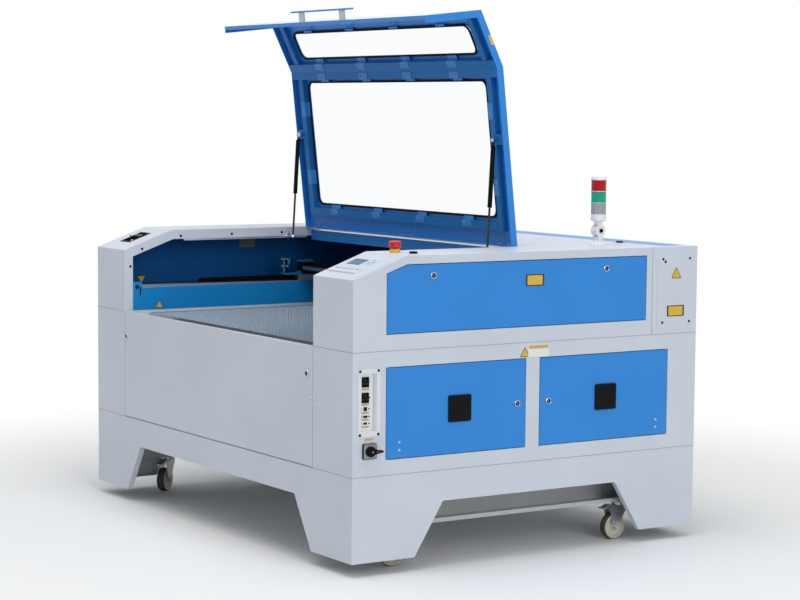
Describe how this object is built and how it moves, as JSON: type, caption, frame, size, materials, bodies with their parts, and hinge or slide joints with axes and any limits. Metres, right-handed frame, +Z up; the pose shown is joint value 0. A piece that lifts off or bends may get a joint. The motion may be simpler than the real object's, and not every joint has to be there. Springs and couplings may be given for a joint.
{
  "type": "carbon dioxide laser cutter",
  "caption": "Floor-standing laser cutter cabinet on casters, with a lifting lid over the work bed, side consoles, service doors and a moving gantry.",
  "frame": {"origin": "on the floor, under the centre of the cabinet", "axes": "+X to the machine's right seen from the front, +Y to the rear, +Z up; the operator's side faces -Y"},
  "size_m": [1.9075, 1.437, 1.8442],
  "materials": {
    "black_paint": "gloss black enamel",
    "black_plastic": "fine-grained moulded plastic",
    "blue_paint": "powder coat, sky blue",
    "cabinet_paint": "fine-textured powder coat, pale cool grey",
    "chrome": "bright chrome",
    "comb_aluminium": "bare aluminium foil cells",
    "frame_paint": "satin paint, dark grey",
    "head_aluminium": "blue anodised with bright parts",
    "housing_plastic": "housings of bought-in units",
    "instrument_plastic": "smooth moulded plastic, off-white",
    "liner_paint": "powder coat, deep blue",
    "pane": "clear acrylic",
    "rail_paint": "powder coat, teal blue",
    "red_plastic": "smooth moulded plastic, red",
    "rod_steel": "nitrided steel, dark",
    "rubber": "soft black rubber",
    "tube_glass": "clear borosilicate glass",
    "wheel_nylon": "cast nylon, cream",
    "yellow_plastic": "smooth moulded plastic, yellow",
    "zinc_sheet": "bright zinc plating"
  },
  "bodies": {
    "cabinet": {"skirt": "cabinet_paint", "base_frame": "frame_paint", "lower_left_box": "cabinet_paint", "lower_right_box": "cabinet_paint", "bay_tub": "zinc_sheet", "console_left": "cabinet_paint", "console_right": "cabinet_paint", "rear_box": "cabinet_paint", "roof_plate": "cabinet_paint", "fixed_panels": "cabinet_paint", "bay_liner": "liner_paint", "y_rails": "rail_paint", "cable_chain": "black_plastic", "control_panel": "instrument_plastic", "socket_panel": "instrument_plastic", "meter_panel": "black_plastic", "laser_tube": "tube_glass", "tube_mounts": "black_plastic", "electronics": "housing_plastic", "button_collars": "yellow_plastic", "tower_base": "instrument_plastic", "duct_collars": "zinc_sheet"},
    "lid": {"lid_skin": "blue_paint", "lid_frame": "liner_paint", "lid_panes": "pane", "lid_gaskets": "rubber", "lid_clips": "liner_paint", "lid_handle": "blue_paint"},
    "strut_cylinders": {"strut_cylinders": "black_paint"},
    "strut_rods": {"strut_rods": "rod_steel"},
    "front_door": {"front_door": "cabinet_paint"},
    "side_door_front": {"side_door_front": "blue_paint", "vent_front": "black_plastic"},
    "side_door_rear": {"side_door_rear": "blue_paint", "vent_rear": "black_plastic"},
    "upper_side_panel": {"upper_side_panel": "blue_paint"},
    "rear_cover": {"rear_cover": "blue_paint"},
    "gantry": {"gantry": "rail_paint"},
    "laser_head": {"laser_head": "head_aluminium"},
    "table": {"table_frame": "zinc_sheet", "honeycomb": "comb_aluminium"},
    "estop_button": {"estop_button": "red_plastic"},
    "start_button": {"start_button": "black_plastic"},
    "switch_handle": {"switch_handle": "black_plastic"},
    "toggle_lever": {"toggle_lever": "chrome"},
    "signal_tower": {"signal_tower": "instrument_plastic"},
    "caster_fork_fl": {"caster_fork_fl": "zinc_sheet"},
    "caster_wheel_fl": {"caster_wheel_fl": "wheel_nylon"},
    "caster_fork_fr": {"caster_fork_fr": "zinc_sheet"},
    "caster_wheel_fr": {"caster_wheel_fr": "wheel_nylon"},
    "caster_fork_rl": {"caster_fork_rl": "zinc_sheet"},
    "caster_wheel_rl": {"caster_wheel_rl": "wheel_nylon"},
    "caster_fork_rr": {"caster_fork_rr": "zinc_sheet"},
    "caster_wheel_rr": {"caster_wheel_rr": "wheel_nylon"},
    "lock_front_left": {"lock_front_left": "chrome"},
    "lock_front_right": {"lock_front_right": "chrome"},
    "lock_side_front": {"lock_side_front": "chrome"},
    "lock_side_rear": {"lock_side_rear": "chrome"},
    "lock_upper_front": {"lock_upper_front": "chrome"},
    "lock_upper_rear": {"lock_upper_rear": "chrome"}
  },
  "joints": [
    {"name": "lid_hinge", "type": "hinge", "parent": "cabinet", "child": "lid", "pos_m": [-0.0055, 0.11, 1.025], "axis": [1, 0, 0], "range_deg": [0, 83.5]},
    {"name": "strut_turn", "type": "hinge", "parent": "lid", "child": "strut_cylinders", "pos_m": [-0.0055, 0.02837, 1.38809], "axis": [1, 0, 0], "range_deg": [0, 10.87]},
    {"name": "strut_slide", "type": "slide", "parent": "strut_cylinders", "child": "strut_rods", "axis": [0, 0.056, 0.9984], "range_m": [0, 0.1357]},
    {"name": "front_door_hinge", "type": "hinge", "parent": "cabinet", "child": "front_door", "pos_m": [-0.0055, -0.701, 0.3295], "axis": [1, 0, 0], "range_deg": [0, 90]},
    {"name": "side_door_front_hinge", "type": "hinge", "parent": "cabinet", "child": "side_door_front", "pos_m": [0.936, -0.5735, 0.5215], "axis": [0, 0, -1], "range_deg": [0, 100]},
    {"name": "side_door_rear_hinge", "type": "hinge", "parent": "cabinet", "child": "side_door_rear", "pos_m": [0.936, 0.5735, 0.5215], "axis": [0, 0, 1], "range_deg": [0, 100]},
    {"name": "upper_side_panel_hinge", "type": "hinge", "parent": "cabinet", "child": "upper_side_panel", "pos_m": [0.936, -0.05, 0.7815], "axis": [0, 1, 0], "range_deg": [0, 90]},
    {"name": "rear_cover_hinge", "type": "hinge", "parent": "cabinet", "child": "rear_cover", "pos_m": [0, 0.6865, 1.021], "axis": [-1, 0, 0], "range_deg": [0, 80]},
    {"name": "gantry_slide", "type": "slide", "parent": "cabinet", "child": "gantry", "axis": [0, 1, 0], "range_m": [-0.66, 0.3]},
    {"name": "head_slide", "type": "slide", "parent": "gantry", "child": "laser_head", "axis": [1, 0, 0], "range_m": [-0.96, 0.28]},
    {"name": "table_lift", "type": "slide", "parent": "cabinet", "child": "table", "axis": [0, 0, 1], "range_m": [-0.23, 0]},
    {"name": "estop_press", "type": "slide", "parent": "cabinet", "child": "estop_button", "axis": [0, 0, -1], "range_m": [0, 0.005], "stiffness_N_per_m": 2000, "springref_m": -0.004},
    {"name": "start_press", "type": "slide", "parent": "cabinet", "child": "start_button", "axis": [0, 0, -1], "range_m": [0, 0.003], "stiffness_N_per_m": 1000, "springref_m": -0.003},
    {"name": "switch_turn", "type": "hinge", "parent": "cabinet", "child": "switch_handle", "pos_m": [0.948, -0.643, 0.406], "axis": [1, 0, 0], "range_deg": [0, 90]},
    {"name": "toggle_flick", "type": "hinge", "parent": "cabinet", "child": "toggle_lever", "pos_m": [-0.835, -0.6103, 0.97929], "axis": [1, 0, 0], "range_deg": [-14, 14]},
    {"name": "tower_tilt", "type": "hinge", "parent": "cabinet", "child": "signal_tower", "pos_m": [0.757, 0.408, 1.076], "axis": [1, 0, 0], "range_deg": [-90, 90]},
    {"name": "caster_swivel_fl", "type": "hinge", "parent": "cabinet", "child": "caster_fork_fl", "pos_m": [-0.835, -0.458, 0.12], "axis": [0, 0, 1], "continuous": true},
    {"name": "caster_roll_fl", "type": "hinge", "parent": "caster_fork_fl", "child": "caster_wheel_fl", "pos_m": [-0.81776, -0.48006, 0.045], "axis": [0.788, 0.6157, 0], "continuous": true},
    {"name": "caster_swivel_fr", "type": "hinge", "parent": "cabinet", "child": "caster_fork_fr", "pos_m": [0.835, -0.458, 0.12], "axis": [0, 0, 1], "continuous": true},
    {"name": "caster_roll_fr", "type": "hinge", "parent": "caster_fork_fr", "child": "caster_wheel_fr", "pos_m": [0.82823, -0.48517, 0.045], "axis": [0.9703, -0.2419, 0], "continuous": true},
    {"name": "caster_swivel_rl", "type": "hinge", "parent": "cabinet", "child": "caster_fork_rl", "pos_m": [-0.835, 0.458, 0.12], "axis": [0, 0, 1], "continuous": true},
    {"name": "caster_roll_rl", "type": "hinge", "parent": "caster_fork_rl", "child": "caster_wheel_rl", "pos_m": [-0.82542, 0.43169, 0.045], "axis": [0.9397, 0.342, 0], "continuous": true},
    {"name": "caster_swivel_rr", "type": "hinge", "parent": "cabinet", "child": "caster_fork_rr", "pos_m": [0.835, 0.458, 0.12], "axis": [0, 0, 1], "continuous": true},
    {"name": "caster_roll_rr", "type": "hinge", "parent": "caster_fork_rr", "child": "caster_wheel_rr", "pos_m": [0.835, 0.43, 0.045], "axis": [1, 0, 0], "continuous": true},
    {"name": "lock_turn_front_left", "type": "hinge", "parent": "front_door", "child": "lock_front_left", "pos_m": [-0.684, -0.705, 0.63], "axis": [0, -1, 0], "range_deg": [0, 90]},
    {"name": "lock_turn_front_right", "type": "hinge", "parent": "front_door", "child": "lock_front_right", "pos_m": [0.658, -0.705, 0.63], "axis": [0, 1, 0], "range_deg": [0, 90]},
    {"name": "lock_turn_side_front", "type": "hinge", "parent": "side_door_front", "child": "lock_side_front", "pos_m": [0.94, -0.0645, 0.5215], "axis": [-1, 0, 0], "range_deg": [0, 90]},
    {"name": "lock_turn_side_rear", "type": "hinge", "parent": "side_door_rear", "child": "lock_side_rear", "pos_m": [0.94, 0.0645, 0.5215], "axis": [1, 0, 0], "range_deg": [0, 90]},
    {"name": "lock_turn_upper_front", "type": "hinge", "parent": "upper_side_panel", "child": "lock_upper_front", "pos_m": [0.94, -0.403, 0.959], "axis": [-1, 0, 0], "range_deg": [0, 90]},
    {"name": "lock_turn_upper_rear", "type": "hinge", "parent": "upper_side_panel", "child": "lock_upper_rear", "pos_m": [0.94, 0.302, 0.959], "axis": [-1, 0, 0], "range_deg": [0, 90]}
  ],
  "couplings": [
    {"joint": "strut_turn", "follows": "lid_hinge", "ratio": 0.12659},
    {"joint": "strut_slide", "follows": "lid_hinge", "m_per_rad": 0.091735}
  ]
}
